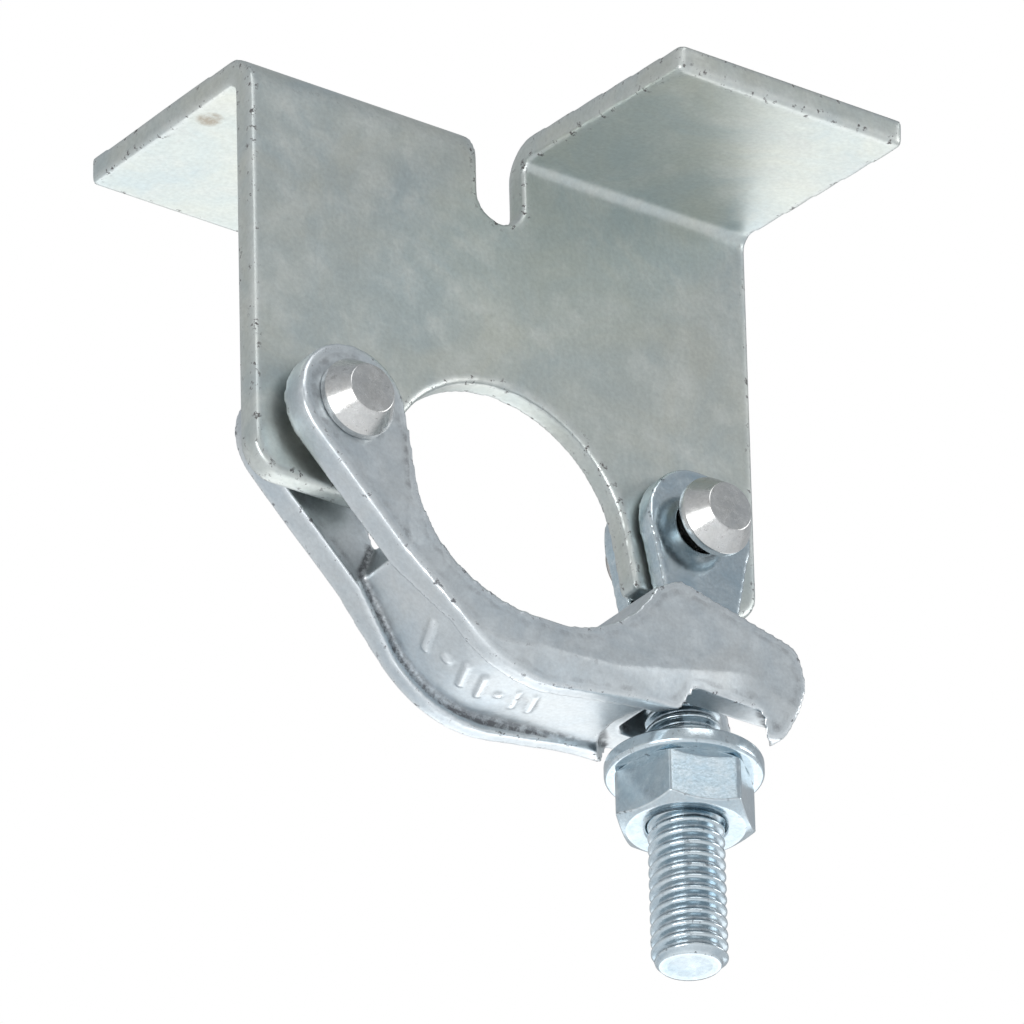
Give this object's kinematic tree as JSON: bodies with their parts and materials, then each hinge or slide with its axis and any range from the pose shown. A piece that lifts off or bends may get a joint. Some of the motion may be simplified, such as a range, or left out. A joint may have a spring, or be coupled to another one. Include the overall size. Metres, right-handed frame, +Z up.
{
  "type": "scaffold board retaining coupler",
  "caption": "Steel clamp half plate with opposite bent tabs, hinged forged flap and swing bolt, which grips a scaffold tube and holds boards down.",
  "frame": {"origin": "on the axis of the clamped tube, in the middle plane of the plate", "axes": "+Y along the tube axis, to the back; +X to the swing bolt; +Z up to the board tabs"},
  "size_m": [0.102, 0.0909, 0.1454],
  "materials": {
    "plate_zinc": "satin zinc plated sheet, faintly mottled grey-green",
    "forged_zinc": "zinc plated forging, fine rough grain",
    "rivet_steel": "bright turned steel",
    "bright_zinc": "bright bluish zinc plating"
  },
  "bodies": {
    "body_plate": {"body_plate": "plate_zinc", "flap_rivet": "rivet_steel", "bolt_rivet": "rivet_steel"},
    "flap": {"flap": "forged_zinc"},
    "swing_bolt": {"swing_bolt": "bright_zinc"},
    "washer": {"washer": "bright_zinc"},
    "nut": {"nut": "bright_zinc"}
  },
  "joints": [
    {"name": "bolt_swing", "type": "hinge", "parent": "body_plate", "child": "swing_bolt", "pos_m": [0.036, 0, 0.0072], "axis": [0, 1, 0], "range_deg": [-110, 0]},
    {"name": "nut_run", "type": "slide", "parent": "swing_bolt", "child": "washer", "axis": [0, 0, -1], "range_m": [0, 0.01905]},
    {"name": "nut_spin", "type": "hinge", "parent": "washer", "child": "nut", "pos_m": [0.036, 0, -0.041], "axis": [0, 0, -1], "range_deg": [0, 3240]},
    {"name": "flap_hinge", "type": "hinge", "parent": "body_plate", "child": "flap", "pos_m": [-0.036, 0, 0.0072], "axis": [0, 1, 0], "range_deg": [0, 120]}
  ],
  "couplings": [
    {"joint": "nut_run", "follows": "nut_spin", "m_per_rad": 0.00033688},
    {"joint": "flap_hinge", "follows": "nut_spin", "ratio": 0.004784}
  ]
}
